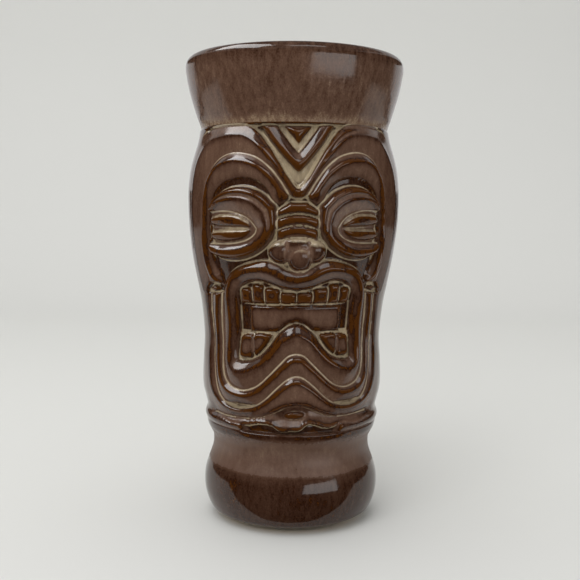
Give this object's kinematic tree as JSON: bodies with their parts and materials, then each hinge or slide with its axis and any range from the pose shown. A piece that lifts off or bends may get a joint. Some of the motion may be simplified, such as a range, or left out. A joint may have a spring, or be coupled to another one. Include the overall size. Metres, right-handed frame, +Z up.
{
  "type": "tiki mug",
  "caption": "Tall glazed ceramic tiki mug: waisted pedestal foot, carved mask with open toothed mouth on the front, plain flared rim band.",
  "frame": {"origin": "centre of the foot ring on the table", "axes": "+Z up along the mug's axis, -Y out of the front of the mask, +X to the right of a viewer who faces the mask"},
  "size_m": [0.0782, 0.0782, 0.165],
  "materials": {
    "mask_glaze": "gloss mauve-brown glaze, mottled, thin and amber on the edges",
    "ridge_glaze": "gloss amber-brown glaze, thin over the raised edges, pale where it pools",
    "inner_glaze": "gloss dark brown glaze inside the cup",
    "bare_clay": "unglazed fired clay, matte"
  },
  "bodies": {
    "root": {"foot_ring": "bare_clay", "pedestal": "mask_glaze", "neck": "mask_glaze", "neck_frill": "mask_glaze", "mask_wall": "mask_glaze", "rim_band": "mask_glaze", "lining": "inner_glaze", "forehead_triangle": "ridge_glaze", "forehead_chevron": "ridge_glaze", "crown_band_left": "mask_glaze", "crown_band_right": "mask_glaze", "eyebrow_left": "mask_glaze", "eyebrow_right": "mask_glaze", "upper_lid_left": "mask_glaze", "upper_lid_right": "mask_glaze", "lower_lid_left": "mask_glaze", "lower_lid_right": "mask_glaze", "eye_roll_upper_left": "ridge_glaze", "eye_roll_upper_right": "ridge_glaze", "eye_roll_lower_left": "ridge_glaze", "eye_roll_lower_right": "ridge_glaze", "nose_bridge": "ridge_glaze", "nose_ring_upper": "ridge_glaze", "nose_ring_lower": "ridge_glaze", "nose_tip": "ridge_glaze", "nostril_left": "ridge_glaze", "nostril_right": "ridge_glaze", "upper_lip": "mask_glaze", "lip_side_left": "mask_glaze", "lip_side_right": "mask_glaze", "lower_lip": "mask_glaze", "upper_teeth": "ridge_glaze", "lower_teeth": "ridge_glaze", "tongue": "mask_glaze", "chin_band": "mask_glaze", "jaw_band": "mask_glaze", "chin_crease": "mask_glaze", "ear_stud_left": "ridge_glaze", "ear_stud_right": "ridge_glaze"}
  },
  "joints": []
}
